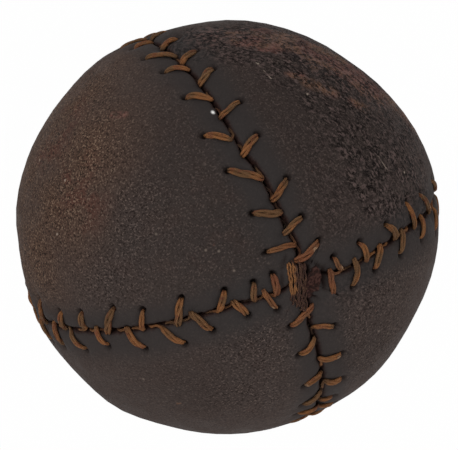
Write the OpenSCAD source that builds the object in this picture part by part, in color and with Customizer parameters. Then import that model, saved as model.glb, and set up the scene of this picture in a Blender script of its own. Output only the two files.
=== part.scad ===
// A hand-sewn ball with a one-piece leather cover.
// The cover is cut with four slits that run out from one point, the crossing, so
// that four petals close over the wound ball. The slits are sewn shut with a waxed
// thread, and the petals' tips are lashed together at the crossing.
// The origin is the ball's centre, and +Z passes through the crossing.

/* [Ball] */
// Diameter over the leather cover
ball_d = 70; // [66:1:76]
// Thickness of the leather
leather_t = 2; // [1.6:0.1:2.4]
// Room between one layer of the ball and the next
layer_gap = 0.2; // [0.15:0.05:0.3]

/* [Core and windings] */
// Diameter of the rubber core
core_d = 24; // [18:1:30]
// Thickness of the twine winding, over the wool winding that fills the rest
twine_t = 7.6; // [4:0.2:10]

/* [Seams] */
// Length of each seam, along the cover from the crossing
seam_length = 90; // [70:1:94]
// Width of the slit between two petals
slit_w = 0.4; // [0.3:0.1:0.6]
// Distance from the slit at which a petal's edge begins to roll down
edge_reach = 3; // [2.4:0.1:3.4]
// How far the edges of two petals are drawn down at the slit
edge_drop = 0.7; // [0.4:0.1:0.9]
// Reach of the dimple round the crossing and round the far end of each slit
dimple_reach = 3.6; // [3.5:0.1:4]
// Diameter of the eye that is left where the four tips meet
eye_d = 1.6; // [1.4:0.1:1.8]
// Height of the gathered petal tip over the cover
tip_rise = 1; // [0.6:0.1:1.4]
// Diameter of the gathered petal tip
tip_d = 3.8; // [3:0.2:4.2]

/* [Stitches] */
// Diameter of the waxed sewing thread
thread_d = 1.2; // [1:0.1:1.3]
// Distance between stitches on the same side of a seam
stitch_pitch = 7; // [6:0.5:9]
// Distance from the slit to the row of holes on either side
stitch_reach = 4.2; // [3.8:0.1:5]
// How far a stitch slants along the seam before it dips into the slit
stitch_slant = 2.1; // [1.6:0.1:2.4]
// Room round the thread in a stitch hole
hole_gap = 0.25; // [0.2:0.05:0.35]
// Room between the thread and the leather that it lies on
rest_gap = 0.1; // [0.05:0.05:0.2]
// Room between the thread and the leather that it runs under
run_gap = 0.25; // [0.2:0.05:0.35]

/* [Lashing at the crossing] */
// Diameter of the lashing thread
lash_d = 0.8; // [0.7:0.05:0.85]
// Room round the lashing thread in its holes
lash_gap = 0.12; // [0.08:0.02:0.14]
// Number of times that the lashing crosses the seam
lash_passes = 3; // [2:1:3]
// Distance between two passes
lash_pitch = 1.35; // [1.3:0.05:1.4]
// Length of a pass
lash_span = 5.2; // [4.6:0.1:5.6]

/* [Hidden] */

$fn = 96;

// Radii of the layers, from the outside in
cover_r = ball_d / 2;
cover_in_r = cover_r - leather_t;
twine_r = cover_in_r - layer_gap;
twine_in_r = twine_r - twine_t;
wool_r = twine_in_r - layer_gap;
core_r = core_d / 2;

// How far a cutter runs past what it cuts
overrun = 2;

// Each seam: its direction about +Z, the distance from the crossing to its first hole,
// and whether it was sewn away from the crossing
back_az = 90;
left_az = 183;
front_az = 268;
right_az = 349;
back_first = 5.2;
left_first = 6.4;
front_first = 7.8;
right_first = 5;
BACK = [back_az, back_first, false];
LEFT = [left_az, left_first, true];
FRONT = [front_az, front_first, false];
RIGHT = [right_az, right_first, true];
SEAMS = [BACK, LEFT, FRONT, RIGHT];
function azimuth(seam) = seam[0];
function first_hole(seam) = seam[1];
function way(seam) = seam[2] ? 1 : -1;

// Colours of the pieces
rubber_tint = [0.16, 0.14, 0.13];
wool_tint = [0.55, 0.5, 0.42];
twine_tint = [0.72, 0.66, 0.55];
leather_tint = [0.21, 0.185, 0.175];
thread_tint = [0.5, 0.31, 0.17];
lashing_tint = [0.36, 0.25, 0.18];

// The rolled edge of a petal: its crest lies at edge_reach, just proud of the cover so
// that the roll blends in, and its arc falls by edge_drop to the slit
crest_rise = 0.05;
function crest_r(reach) = sqrt(cover_r * cover_r - reach * reach) + crest_rise;
function roll_fall(reach) = crest_r(reach) - (cover_r - edge_drop);
function roll_r(reach) = let (run = reach - slit_w / 2, fall = roll_fall(reach))
    (run * run + fall * fall) / (2 * fall);

// Angles and places on the cover. A place is given by its distance along a seam from
// the crossing, its distance across the seam, positive anticlockwise about +Z, and
// its radius from the ball's centre.
function deg_of(dist) = dist / cover_r * 180 / PI;
function about_z(az, p) = [p.x * cos(az) - p.y * sin(az), p.x * sin(az) + p.y * cos(az), p.z];
function place(az, along, across, r) = let (a = deg_of(along), b = deg_of(across))
    about_z(az, [r * cos(b) * sin(a), r * sin(b), r * cos(b) * cos(a)]);
function along_dir(az, along) = let (a = deg_of(along)) about_z(az, [cos(a), 0, -sin(a)]);

// Radius of the cover's surface at a distance across a seam
function surface_r(across) = let (
        b = deg_of(abs(across)),
        off = edge_reach - cover_r * sin(b),
        arc = roll_r(edge_reach),
        arc_r = crest_r(edge_reach) - arc + sqrt(arc * arc - off * off)
    ) off < 0 ? cover_r : min(cover_r, arc_r / cos(b));

// Stitches: they alternate between the two sides, and the clockwise side comes first
half_pitch = stitch_pitch / 2;
hole_r = thread_d / 2 + hole_gap;
lash_hole_r = lash_d / 2 + lash_gap;
function stitch_count(seam) =
    floor((seam_length - stitch_slant - thread_d - first_hole(seam)) / half_pitch) + 1;
function hole_along(seam, i) = first_hole(seam) + i * half_pitch;
function hole_side(i) = i % 2 == 0 ? -1 : 1;
function dip_along(seam, i) = hole_along(seam, i) + way(seam) * stitch_slant;

// Shares of the thread's diameter: a bend's run, the last ring before a dip, a knot, the
// thin part beside it and half the knot's length
bend_share = 0.5;
edge_share = 0.65;
knot_share = 1.3;
tail_share = 0.7;
knot_step_share = 0.6;

// Shares of a stitch's reach: where the ring in its middle lies, and where a knot lies
middle_share = 0.45;
knot_place_share = 0.4;

// Radii of the thread's runs under the leather and of the bed that holds them, and the
// reach of the bed round the crossing as a share of its reach across a seam
run_r = cover_in_r - run_gap - thread_d / 2;
bed_r = run_r - thread_d * knot_share / 2 - layer_gap;
crossing_share = 1.8;

// Route of a seam's thread, as rows of [along, across, radius, share of the diameter].
// One stitch comes up through its hole, lies over the leather, dips into the slit
// and runs under the other petal towards the next hole.
function stitch_route(seam, i) = let (
        h = hole_along(seam, i),
        d = dip_along(seam, i),
        side = hole_side(i),
        w = side * stitch_reach,
        turn = thread_d * bend_share,
        lie = rest_gap + thread_d / 2,
        lift = turn / stitch_reach,
        dip_c = thread_d * edge_share,
        dip_r = surface_r(dip_c) + lie
    ) [
        [h, w, run_r + turn, 1],
        [h, w, cover_r + lie - turn, 1],
        [h + (d - h) * lift, w * (1 - lift), cover_r + lie, 1],
        [h + (d - h) * middle_share, w * (1 - middle_share),
         surface_r(w * (1 - middle_share)) + lie, 1],
        [d - (d - h) * dip_c / stitch_reach, side * dip_c, dip_r, 1],
        [d, 0, dip_r - turn, 1],
        [d, 0, run_r + turn, 1]
    ];

// Run under the leather, from a dip to the next hole on the other side
function under_run(d, h, w) = let (turn = thread_d * bend_share / abs(w)) [
        [d + (h - d) * turn, w * turn, run_r, 1],
        [h - (h - d) * turn, w * (1 - turn), run_r, 1]
    ];

// A knot in the thread, part of the way along its first or its last run
function knot(d, h, w) = let (step = thread_d * knot_step_share / abs(w))
    [for (k = [-1 : 1]) let (f = knot_place_share + k * step)
        [d + (h - d) * f, w * f, run_r, k == 0 ? knot_share : tail_share]];

function seam_route(seam) = let (
        n = stitch_count(seam),
        order = way(seam) > 0 ? [for (i = [0 : n - 1]) i] : [for (i = [n - 1 : -1 : 0]) i],
        first = order[0],
        last = order[n - 1],
        lead = way(seam) * (half_pitch - stitch_slant),
        first_w = hole_side(first) * stitch_reach,
        last_w = -hole_side(last) * stitch_reach
    ) concat(
        knot(hole_along(seam, first) - lead, hole_along(seam, first), first_w),
        [under_run(hole_along(seam, first) - lead, hole_along(seam, first), first_w)[1]],
        [for (k = [0 : n - 2], p = concat(
                stitch_route(seam, order[k]),
                under_run(dip_along(seam, order[k]), hole_along(seam, order[k + 1]),
                          hole_side(order[k + 1]) * stitch_reach)
            )) p],
        stitch_route(seam, last),
        [under_run(dip_along(seam, last), dip_along(seam, last), last_w)[0]],
        knot(dip_along(seam, last), dip_along(seam, last), last_w)
    );

// The lashing crosses the left seam beside the crossing. Its passes are laid out
// like stitches along a line of their own.
lash_az = 160;
lash_first = 1.4;
lash_start = -1;
lash_over_r = cover_r + rest_gap + lash_d / 2;
lash_run_r = cover_in_r - run_gap - lash_d / 2;
lash_knot_share = 1.5;
lash_tail_share = 2;
function lash_route() = let (
        turn = lash_d * bend_share,
        low = lash_start,
        high = lash_start + lash_span,
        knot = lash_d * lash_knot_share,
        tail = lash_d * lash_tail_share
    ) concat(
        [[lash_first, low + tail, lash_run_r, tail_share],
         [lash_first, low + knot, lash_run_r, knot_share],
         [lash_first, low + turn, lash_run_r, 1]],
        [for (k = [0 : lash_passes - 1], p = let (s = lash_first + k * lash_pitch) concat([
                [s, low, lash_run_r + turn, 1],
                [s, low, lash_over_r - turn, 1],
                [s, low + turn, lash_over_r, 1],
                [s, (low + high) / 2, lash_over_r, 1],
                [s, high - turn, lash_over_r, 1],
                [s, high, lash_over_r - turn, 1],
                [s, high, lash_run_r + turn, 1],
                [s, high - turn, lash_run_r, 1]
            ], k < lash_passes - 1 ? [
                [s + lash_pitch, low + turn, lash_run_r, 1]
            ] : [
                [s, high - knot, lash_run_r, knot_share],
                [s, high - tail, lash_run_r, tail_share]
            ])) p]
    );

// A round tube along a route: rings of points, each across the bend at its point
tube_sides = 6;
function unit(v) = v / norm(v);
function ring_axis(p, i) = let (
        n = len(p),
        to = i < n - 1 ? unit(p[i + 1] - p[i]) : [0, 0, 0],
        from = i > 0 ? unit(p[i] - p[i - 1]) : [0, 0, 0]
    ) unit(to + from);
function ring(centre, axis, side, r) = let (
        u = unit(side - (side * axis) * axis),
        v = cross(axis, u)
    ) [for (j = [0 : tube_sides - 1]) let (t = 360 * j / tube_sides)
        centre + r * (cos(t) * u + sin(t) * v)];

// Least gap between a tube and itself, between rings that lie apart along it
apart = 6;
function least_gap(az, route, d) = let (
        p = [for (q = route) place(az, q[0], q[1], q[2])],
        n = len(p)
    ) min([for (i = [0 : n - 1 - apart], j = [i + apart : n - 1]) norm(p[i] - p[j])]) - d;
echo(least_gap_of_seam_threads = min([for (s = SEAMS)
    least_gap(azimuth(s), seam_route(s), thread_d)]));
echo(least_gap_of_lashing = least_gap(lash_az, lash_route(), lash_d));

module tube(az, route, d) {
    p = [for (q = route) place(az, q[0], q[1], q[2])];
    n = len(route);
    s = tube_sides;
    points = [for (i = [0 : n - 1], q = ring(p[i], ring_axis(p, i),
                                             along_dir(az, route[i][0]), route[i][3] * d / 2)) q];
    walls = [for (i = [0 : n - 2], j = [0 : s - 1]) let (k = (j + 1) % s)
        each [[i * s + j, (i + 1) * s + j, (i + 1) * s + k],
              [i * s + j, (i + 1) * s + k, i * s + k]]];
    start = [for (j = [1 : s - 2]) [0, j, j + 1]];
    last = (n - 1) * s;
    end = [for (j = [1 : s - 2]) [last, last + j + 1, last + j]];
    polyhedron(points, concat(walls, start, end));
}

// Turns a piece that stands on +Z to a place on the cover
module on_cover(az, along, across) {
    rotate([-deg_of(across), deg_of(along), az]) children();
}

// Sweeps an outline along a seam. The outline's X is the radius and its Y is across.
module along_seam(az, from, to) {
    rotate([0, 0, az]) rotate([0, -90, -90])
        rotate_extrude(angle = deg_of(to - from), start = deg_of(from)) children();
}

// Outline of the valley between two rolled edges: what lies above two round edges that
// meet under the slit
module valley_outline(reach) {
    low = cover_r - edge_drop - slit_w;
    difference() {
        translate([low, -reach]) square([cover_r + overrun - low, reach * 2]);
        for (side = [-1, 1])
            translate([crest_r(reach) - roll_r(reach), side * reach]) circle(roll_r(reach));
    }
}

module slit_outline() {
    translate([cover_in_r - overrun / 2, -slit_w / 2]) square([leather_t + overrun, slit_w]);
}

module dimple() {
    rotate_extrude() intersection() {
        rotate(90) valley_outline(dimple_reach);
        square([dimple_reach * 2, cover_r + overrun]);
    }
}

module radial_hole(r) {
    translate([0, 0, cover_in_r - overrun / 2])
        cylinder(r = r, h = leather_t + overrun);
}

// The hollow where the petals' edges roll down to a slit
module seam_valley(seam) {
    along_seam(azimuth(seam), 0, seam_length) valley_outline(edge_reach);
    on_cover(azimuth(seam), seam_length, 0) dimple();
}

// The slit itself, with its holes and the notches where the thread dips into it
module seam_cut(seam) {
    az = azimuth(seam);
    along_seam(az, 0, seam_length) slit_outline();
    on_cover(az, seam_length, 0) radial_hole(slit_w);
    for (i = [0 : stitch_count(seam) - 1]) {
        on_cover(az, hole_along(seam, i), hole_side(i) * stitch_reach) radial_hole(hole_r);
        on_cover(az, dip_along(seam, i), 0) radial_hole(hole_r);
    }
}

// The tip of the front right petal is gathered into a small knob beside the eye
tip_az = 309;
tip_along = 2.3;
module petal_tip() {
    cap_r = (tip_d * tip_d / 4 + tip_rise * tip_rise) / (2 * tip_rise);
    on_cover(tip_az, tip_along, 0)
        translate([0, 0, cover_r + tip_rise - cap_r]) sphere(cap_r);
}

// The closed cover before it is cut, with its edges rolled down along the seams
module whole_cover() {
    difference() {
        union() {
            difference() {
                sphere(cover_r);
                dimple();
                for (seam = SEAMS) seam_valley(seam);
            }
            petal_tip();
        }
        sphere(cover_in_r);
        radial_hole(eye_d / 2);
    }
}

module leather_cover() {
    color(leather_tint) difference() {
        whole_cover();
        for (seam = SEAMS) seam_cut(seam);
        for (k = [0 : lash_passes - 1], across = [lash_start, lash_start + lash_span])
            on_cover(lash_az, lash_first + k * lash_pitch, across) radial_hole(lash_hole_r);
    }
}

// Bed in the winding for the runs of thread under the seams and at the crossing. It is
// round at the crossing and takes in the corners between two seams there.
module thread_bed() {
    bed_w = stitch_reach + hole_r + layer_gap;
    difference() {
        union() {
            cylinder(r = bed_w * crossing_share, h = cover_r);
            for (seam = SEAMS) along_seam(azimuth(seam), 0, seam_length)
                translate([bed_r - overrun, -bed_w]) square([cover_r - bed_r + overrun, bed_w * 2]);
        }
        sphere(bed_r);
    }
}

module twine_winding() {
    color(twine_tint) difference() {
        sphere(twine_r);
        sphere(twine_in_r);
        thread_bed();
    }
}

module wool_winding() {
    color(wool_tint) difference() {
        sphere(wool_r);
        sphere(core_r + layer_gap);
    }
}

module rubber_core() {
    color(rubber_tint) sphere(core_r);
}

module seam_thread(seam) {
    color(thread_tint) tube(azimuth(seam), seam_route(seam), thread_d);
}

module crossing_lashing() {
    color(lashing_tint) tube(lash_az, lash_route(), lash_d);
}

rubber_core();
wool_winding();
twine_winding();
leather_cover();
seam_thread(BACK);  // seam_thread_back
seam_thread(LEFT);  // seam_thread_left
seam_thread(FRONT);  // seam_thread_front
seam_thread(RIGHT);  // seam_thread_right
crossing_lashing();
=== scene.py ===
"""A hand-sewn ball in a dark leather cover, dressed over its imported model.

Lengths in this script are in millimetres on the ball's surface and are turned into
metres where a mesh is made. A place on the ball is given along a seam, from the
crossing, and across it, positive anticlockwise about +Z.
"""
import math

import bpy
import numpy as np
from mathutils import Matrix, Vector, noise


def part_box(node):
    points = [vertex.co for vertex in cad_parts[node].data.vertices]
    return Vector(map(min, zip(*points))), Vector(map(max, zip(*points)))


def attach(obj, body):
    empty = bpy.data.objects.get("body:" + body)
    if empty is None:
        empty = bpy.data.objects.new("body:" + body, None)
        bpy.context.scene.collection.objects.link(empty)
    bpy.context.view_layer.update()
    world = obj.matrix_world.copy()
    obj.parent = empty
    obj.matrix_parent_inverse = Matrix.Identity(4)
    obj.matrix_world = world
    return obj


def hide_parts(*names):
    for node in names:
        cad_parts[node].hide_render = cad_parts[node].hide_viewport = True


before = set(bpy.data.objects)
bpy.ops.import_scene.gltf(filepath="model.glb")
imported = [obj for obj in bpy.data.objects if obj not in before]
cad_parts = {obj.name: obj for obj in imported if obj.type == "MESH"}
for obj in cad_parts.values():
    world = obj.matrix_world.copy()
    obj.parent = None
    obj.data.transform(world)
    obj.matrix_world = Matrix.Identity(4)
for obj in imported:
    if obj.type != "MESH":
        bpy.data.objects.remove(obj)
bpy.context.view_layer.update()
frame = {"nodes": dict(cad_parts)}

MM = 0.001

# Points of a mesh that lie closer than this are merged, in metres
COVER_MERGE = 2e-7
TUBE_MERGE = 1e-7

# The ball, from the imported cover's closed side
BALL_R = round(-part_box("leather_cover")[0].z / MM, 2)
LEATHER_T = 2.0
SEAM_LENGTH = 90.0

# The photograph's frame, and the ball in it
PHOTO_W_PX = 458
PHOTO_H_PX = 450
BALL_CENTRE_PX = (227.5, 226.6)
BALL_R_PX = 210.0

# Where the camera stands, seen from the ball's centre, what lies to its right, and how
# many metres away it is
CAMERA_WAY = Vector((-0.2420, 0.3569, 0.9023)).normalized()
CAMERA_RIGHT = Vector((0.8792, -0.3127, 0.3595)).normalized()
CAMERA_UP = CAMERA_WAY.cross(CAMERA_RIGHT)
CAMERA_DISTANCE = 2.0

# Seams: azimuth about +Z in degrees; whether it was sewn away from the crossing; the
# seeds of its unseen stitches and of its thread; the slit's wander, as (along, across);
# and half the width of its gap, as (along, half gap)
SEAMS = {
    "back": dict(
        azimuth=90.0, sewn_away=False, stitch_seed=44, thread_seed=4,
        wander=[
            (0, 0), (4, -1.1), (10, -0.6), (18, -0.6), (24, 0.4), (40, 0.2), (60, 0.5),
            (SEAM_LENGTH, 0),
        ],
        half_gap=[
            (0, 0.3), (8, 0.42), (20, 0.34), (27, 0.16), (33, 0.3), (38, 0.16), (50, 0.24),
            (SEAM_LENGTH, 0.2),
        ],
    ),
    "left": dict(
        azimuth=183.0, sewn_away=True, stitch_seed=45, thread_seed=4,
        wander=[
            (0, 0), (4, 1.0), (8, 0.3), (13, -0.3), (30, -0.5), (42, -0.6), (60, 0),
            (SEAM_LENGTH, 0),
        ],
        half_gap=[
            (0, 0.22), (10, 0.26), (14, 0.36), (22, 0.22), (28, 0.36), (40, 0.32),
            (SEAM_LENGTH, 0.24),
        ],
    ),
    "front": dict(
        azimuth=268.0, sewn_away=False, stitch_seed=44, thread_seed=5,
        wander=[(0, 0), (5, -0.5), (9, -1.0), (13, -0.5), (20, 0), (40, 0.3), (SEAM_LENGTH, 0)],
        half_gap=[(0, 0.26), (8, 0.3), (12, 0.36), (17, 0.2), (22, 0.36), (SEAM_LENGTH, 0.24)],
    ),
    "right": dict(
        azimuth=349.0, sewn_away=True, stitch_seed=47, thread_seed=5,
        wander=[
            (0, 0), (5, -1.0), (9, -1.0), (14, 0), (22, 1.0), (30, 0.7), (45, 0.4),
            (SEAM_LENGTH, 0),
        ],
        half_gap=[(0, 0.3), (8, 0.34), (16, 0.24), (22, 0.36), (32, 0.3), (SEAM_LENGTH, 0.24)],
    ),
}

# Stitches that the photograph shows, as (hole along, hole across, dip along, dip across)
STITCHES = {
    "back": [
        (4.5, -5, 3, 0.5), (6.5, 4.5, 5.5, -1), (9.5, -4, 8, 0.5), (13.5, 4, 11.5, -1),
        (16.5, -4.5, 14, 0), (22, 4.5, 18, -0.5), (25.5, -3.5, 23, 1), (29.5, 5, 26.5, 1),
        (32.5, -4, 31, 1), (38, 4, 35, 0), (41.5, -3.5, 39, 0.5), (46, 4, 43.5, 0),
        (48, -3.5, 46, 0.5), (53, 4.5, 48.5, 0), (55, -3, 53.5, 1), (60, 4, 59, 0.5),
    ],
    "left": [
        (4.5, -3, 5.5, 1), (6, 3.5, 7, -1), (8, -3, 9, 0.5), (11, 2.5, 12.5, -1),
        (13, -3.5, 15.5, 0), (17.5, 3, 20, -1.5), (20.5, -4.5, 23, 0.5), (23, 4, 26, 0),
        (28, -4, 29.5, 0), (30.5, 3.5, 32.5, -1), (33.5, -5, 37, 0), (38, 2.5, 39, -1.5),
        (41, -4.5, 42, -1), (44, 3.5, 46.5, 0), (47, -4, 48, 0), (51.5, 4, 51.5, -1),
        (53.5, -5, 56.5, 1),
    ],
    "front": [
        (8, -4.5, 5.5, 0.5), (11.5, 3.5, 9.8, -0.5), (14.5, -4, 12, -0.5), (18.3, 4, 17, -0.5),
        (23, -3.5, 21, 0), (25.5, 4, 24, 0.5), (30, -3.5, 27, 0), (32, 3, 31, 0),
        (34, -4, 34.5, 0.5),
    ],
    "right": [
        (5, -5, 5, 0), (6, 2, 7.5, -1), (9, -4.5, 10, 0.5), (11.5, 3, 12.5, -1),
        (14, -3, 16, 1), (18, 4, 20, 0.5), (20.5, -2.5, 22, 1.5), (25, 5.5, 26.5, 0),
        (28, -2.5, 29.5, 1.5), (30.5, 5, 34.5, 0), (36, -4, 38, 0), (40.3, 4, 43, 1),
    ],
}

# Where the photograph doesn't show the stitches, they follow this rule, and stray from it
STITCH_STEP = 3.5
STITCH_REACH = 3.9
STITCH_SLANT = 2.1
LAST_STITCH_ROOM = 1.0
STEP_STRAY = 0.4
REACH_STRAY = 0.6
DIP_STRAY = (0.5, 0.4)

# How far the thread comes up inside of the place where its hole was made
HOLE_DRAW = 0.55

# Places in the photograph, in pixels, and how far each kind reaches on the ball
CROSSING_PX = ([(303, 280)], 14)
# Past this reach from the front the leather is paler: painted sheen towards the outline
FRONT_PX = ([(235, 235)], 50)
DARKER_PX = ([(325, 90)], 42)
SHADED_PX = ([(160, 150), (200, 392), (362, 352)], 12)
BROWN_PX = (
    [(48, 140), (62, 205), (86, 152), (36, 250), (78, 98), (28, 180), (24, 240), (54, 112)], 17,
)
REDDISH_PX = ([(75, 180), (52, 150), (66, 122), (85, 205)], 8)
GRAINY_PX = ([
    (128, 215), (105, 270), (385, 285), (415, 240), (345, 335), (375, 350), (262, 350), (250, 395),
], 14)
PEBBLED_PX = ([
    (352, 128), (332, 94), (292, 62), (240, 42), (205, 38), (396, 150), (410, 190), (376, 180),
    (345, 72), (402, 128), (300, 46), (270, 28), (318, 42), (366, 76),
], 12)
SPARSE_PX = ([(340, 205), (330, 150), (360, 290)], 12)
MOTTLED_PX = ([(212, 34), (245, 36), (280, 40), (312, 58), (342, 72), (368, 90)], 8)
# Small pale specks of painted glint, and a whitish wax bit in the seam with a painted glint
GLINTS_PX = ([(42, 161), (68, 181), (60, 234), (307, 95), (402, 173), (258, 64)], 0.34)
BRIGHT_SPECK_PX = ([(213, 112)], 0.5)
FAINT_GLINTS_PX = (
    [(157, 234), (377, 330), (386, 332), (206, 250), (219, 251), (234, 270), (144, 378)], 0.38,
)
LIGHT_STRANDS_PX = ([(288, 268), (289, 278), (290, 288)], 1.6)
# Painted glints on the thread
THREAD_GLINTS_PX = ([
    (314, 249), (342, 266), (272, 308), (68, 331), (306, 323), (338, 356), (307, 386), (427, 206),
    (425, 232),
], 0.7)

# Worn patches and scratches, as from, to and reach, and the painted highlight line on the rim
PATCHES_PX = [
    ((264, 40), (286, 46), 3.0), ((290, 75), (301, 77), 1.5), ((307, 83), (332, 93), 2.0),
    ((352, 103), (364, 109), 1.6), ((114, 116), (126, 116), 1.0), ((388, 98), (408, 121), 5.0),
]
SCRATCHES_PX = [((256, 63), (271, 79), 0.2), ((376, 157), (386, 172), 0.2)]
RIM_HIGHLIGHT_PX = [
    ((266, 37), (298, 44), 10), ((298, 44), (325, 56), 10), ((325, 56), (350, 70), 10),
    ((350, 70), (363, 79), 10),
]

# Creases beside the crossing, in pixels: from, to, reach and depth
CREASES_PX = [
    ((286, 255), (281, 270), 0.3, 0.45), ((281, 272), (283, 289), 0.3, 0.45),
    ((304, 300), (303, 318), 0.35, 0.5), ((304, 258), (313, 262), 0.3, 0.5),
    ((306, 262), (308, 273), 0.4, 0.8), ((299, 254), (306, 262), 0.3, 0.4),
    ((313, 262), (322, 268), 0.25, 0.5), ((323, 268), (324, 287), 0.5, 0.9),
    ((306, 294), (318, 298), 0.35, 0.4),
]
# How much painted shade the creases get for their depth
CREASE_DARKNESS = 1.5

# The ball isn't quite round. Seen from the camera it is wider and less high by this
# share, and it has lumps, as (fineness, height).
WIDE_SHARE = 0.014
BALL_LUMPS = [(1.6, 0.35), (4.5, 0.13), (14.0, 0.045)]
LUMPS_SINK = 0.08

# Where the outline strays from the ball: the direction in the photograph in degrees,
# anticlockwise from the right, the push outwards, and how wide it is in degrees
OUTLINE_PUSHES = [
    (10, 0.2, 6), (20, 0.22, 12), (53, -0.4, 14), (105, -0.5, 10), (130, 0.2, 8), (168, -0.2, 10),
    (189, -0.75, 10), (238, 0.6, 9), (333, -0.65, 13),
]


def millimetres(points):
    """Points in millimetres as rows in metres."""
    return np.asarray(points, float) * MM


def choose(*objects):
    """Selects these objects alone, the last one active."""
    bpy.ops.object.select_all(action="DESELECT")
    for obj in objects:
        obj.select_set(True)
    bpy.context.view_layer.objects.active = objects[-1]


def positions(obj):
    rows = np.empty(len(obj.data.vertices) * 3)
    obj.data.vertices.foreach_get("co", rows)
    return rows.reshape(-1, 3)


def set_positions(obj, rows):
    obj.data.vertices.foreach_set("co", np.ascontiguousarray(rows).ravel())
    obj.data.update()


def set_tone(obj, name, values):
    """Keeps a value for each point of a mesh, for its finish to read."""
    layer = obj.data.attributes.new(name, "FLOAT", "POINT")
    layer.data.foreach_set("value", values.ravel().astype(np.float32))


def unit_rows(rows):
    return rows / np.linalg.norm(rows, axis=-1, keepdims=True)


def smooth_step(low, high, value):
    share = np.clip((np.asarray(value, float) - low) / (high - low), 0, 1)
    return share * share * (3 - 2 * share)


def bump(distance, reach):
    """One at a distance of zero, falling smoothly to almost nothing at twice the reach."""
    return np.exp(-(np.asarray(distance, float) / reach) ** 2)


def pit(distance, reach):
    """One at a distance of zero, falling steeply at the reach."""
    return np.exp(-(distance / reach) ** 4)


def on_ball(seam, along, across, radius):
    """Points at places along and across a seam, at a radius from the ball's centre."""
    a = np.asarray(along, float) / BALL_R
    b = np.asarray(across, float) / BALL_R
    x = radius * np.cos(b) * np.sin(a)
    y = radius * np.sin(b)
    z = radius * np.cos(b) * np.cos(a)
    turn = math.radians(SEAMS[seam]["azimuth"])
    cos, sin = math.cos(turn), math.sin(turn)
    return np.stack([x * cos - y * sin, x * sin + y * cos, z], axis=-1)


def on_photo(px, py):
    """The point of the ball that the photograph shows at a pixel."""
    scale = BALL_R / BALL_R_PX
    x = (px - BALL_CENTRE_PX[0]) * scale
    y = (BALL_CENTRE_PX[1] - py) * scale
    z = math.sqrt(max(0.0, BALL_R**2 - x * x - y * y))
    return np.array(CAMERA_RIGHT * x + CAMERA_UP * y + CAMERA_WAY * z)


def ball_shape(points):
    """Points of a true ball, moved to where the real ball's lie."""
    way = unit_rows(points)
    right = way @ np.array(CAMERA_RIGHT)
    up = way @ np.array(CAMERA_UP)
    swell = WIDE_SHARE * right**2 - WIDE_SHARE * up**2
    pushed = np.zeros(len(points))
    for degrees, push, width in OUTLINE_PUSHES:
        turn = math.radians(degrees)
        limb = np.array(CAMERA_RIGHT * math.cos(turn) + CAMERA_UP * math.sin(turn))
        away = np.degrees(np.arccos(np.clip(way @ limb, -1, 1)))
        pushed += push * bump(away, width)
    lumps = np.array([
        sum(noise.noise(Vector(w) * fine) * height for fine, height in BALL_LUMPS) for w in way
    ])
    return points * (1 + swell[:, None]) + way * (pushed - LUMPS_SINK + lumps)[:, None]


def along_seam(seam, measure, along):
    """A measure of a seam at places along it, between those where it is given."""
    places = SEAMS[seam][measure]
    return np.interp(along, [p[0] for p in places], [p[1] for p in places])


def all_stitches(seam):
    """A seam's stitches, from the crossing on, as the places of each hole and dip."""
    made = []
    for stitch in STITCHES[seam]:
        hole, dip = np.array(stitch, float).reshape(2, 2)
        made.append((hole + unit_rows(dip - hole) * HOLE_DRAW, dip))
    slant = STITCH_SLANT if SEAMS[seam]["sewn_away"] else -STITCH_SLANT
    rng = np.random.default_rng(SEAMS[seam]["stitch_seed"])
    along = made[-1][0][0]
    side = -np.sign(made[-1][0][1])
    while along + STITCH_STEP + STITCH_SLANT + LAST_STITCH_ROOM < SEAM_LENGTH:
        along += STITCH_STEP + rng.uniform(-STEP_STRAY, STEP_STRAY)
        reach = STITCH_REACH + rng.uniform(-REACH_STRAY, REACH_STRAY)
        stray = [rng.uniform(-most, most) for most in DIP_STRAY]
        made.append((np.array([along, side * reach]), np.array([along + slant, 0]) + stray))
        side = -side
    return made


# Columns of a petal: distances from the slit, close together at its edge and near the
# holes. Where the petal is narrow they are squeezed, to leave room in its middle.
EDGE_STEPS = [
    0, 0.06, 0.14, 0.24, 0.36, 0.5, 0.66, 0.84, 1.04, 1.28, 1.55, 1.85, 2.2, 2.55, 2.9, 3.2,
    3.5, 3.8, 4.1, 4.4, 4.7, 5.0, 5.4, 6.0, 6.9, 8.2,
]
EDGE_ROOM = 1.2
MIDDLE_COLUMNS = 7
INNER_COLUMNS = 8
WALL_DEPTHS = [0.5, 1.0, 1.5, 2.0]
WALL_LEAN = 0.85

# Rows of a petal, from the crossing to the slit's end and on to the closed side
FIRST_ROW = 1.2
ROW_STEP = 0.36
CLOSED_ROWS = 22

# The slit: how its gap and wander fade into the petal and at its end, its least half
# gap, and its ragged edge, as (fineness, depth, layer)
SLIT_FADE = 6.0
SLIT_END_FADE = 1.5
LEAST_HALF_GAP = 0.07
RAGGED_WAVES = [(0.55, 0.18, 0), (1.5, 0.2, 5)]

# The leather beside the slit sinks; its edge rolls down, is raw and gets painted shade.
# Past the slit's end this has faded out at the first distance, and starts to at the second.
SEWN_FADE = (2.5, -1.0)
SINK_DEPTH, SINK_REACH = 0.35, 5.0
ROLL_DEPTH, ROLL_REACH = 0.7, 1.1
EDGE_DARKNESS, EDGE_DARK_REACH = 0.5, 0.25
RAWNESS, RAW_REACH = 0.75, 0.3

# It is rubbed up to the first of two distances from the slit, less up to the second
RUBBED_REACH = (2.0, 7.0)
RUBBED_FADE = (4.0, -8.0)

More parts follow.
